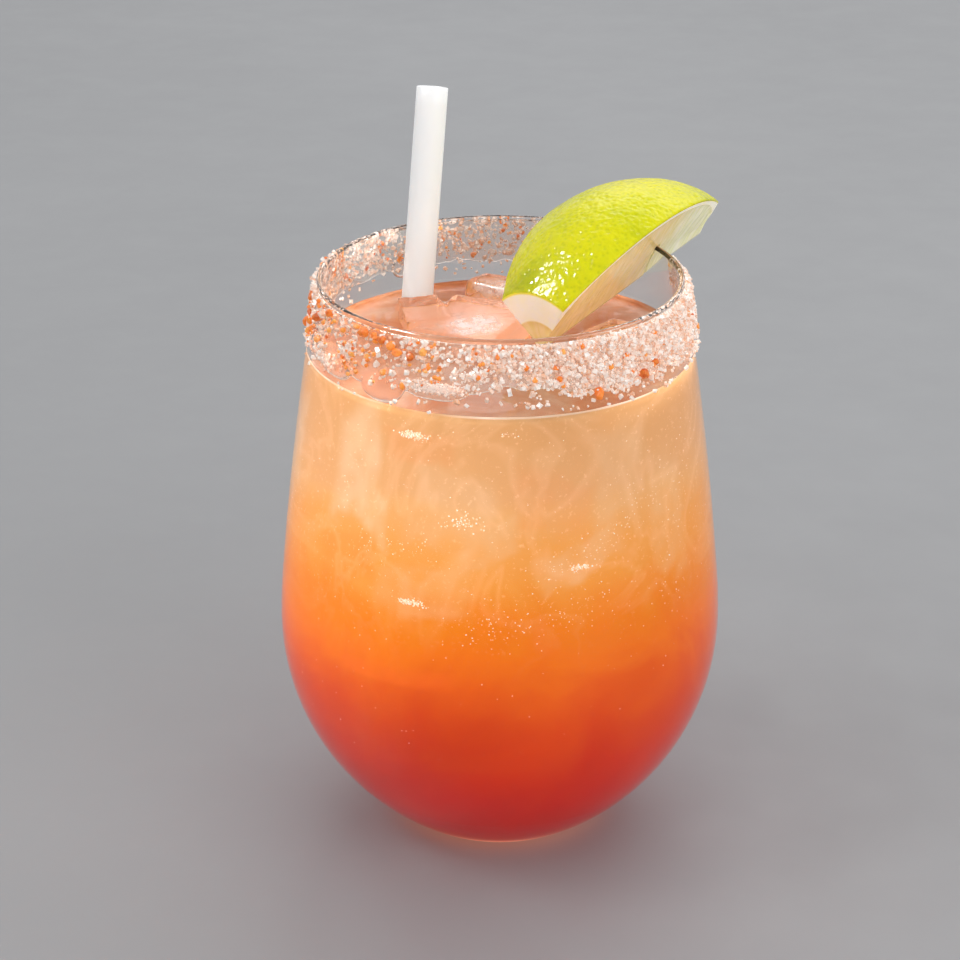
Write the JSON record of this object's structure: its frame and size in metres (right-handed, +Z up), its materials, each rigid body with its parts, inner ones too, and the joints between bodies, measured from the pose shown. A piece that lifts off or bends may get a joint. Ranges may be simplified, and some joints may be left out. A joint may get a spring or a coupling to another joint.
{
  "type": "margarita cocktail",
  "caption": "Stemless glass of amber margarita with ice, a paper straw, a lime wedge hung over the rim and a crust of salt round it.",
  "frame": {"origin": "centre of the glass's flat foot on the surface it stands on", "axes": "+Z up along the glass's axis; +Y away from the drinker, +X to the drinker's right"},
  "size_m": [0.092, 0.092, 0.1498],
  "materials": {
    "glass": "clear drinking glass, smooth and glossy",
    "drink": "amber drink, paler at the top and deep orange at the bottom",
    "straw": "plain off-white straw",
    "lime": "glossy pored peel over pale pith and wet flesh",
    "salt": "coarse white crystals with orange spice grains",
    "ice": "clear ice with frosted patches"
  },
  "bodies": {
    "root": {"glass": "glass", "drink": "drink", "straw": "straw", "lime_wedge": "lime", "salt_rim": "salt", "ice_centre": "ice", "ice_back": "ice", "ice_right": "ice"}
  },
  "joints": []
}
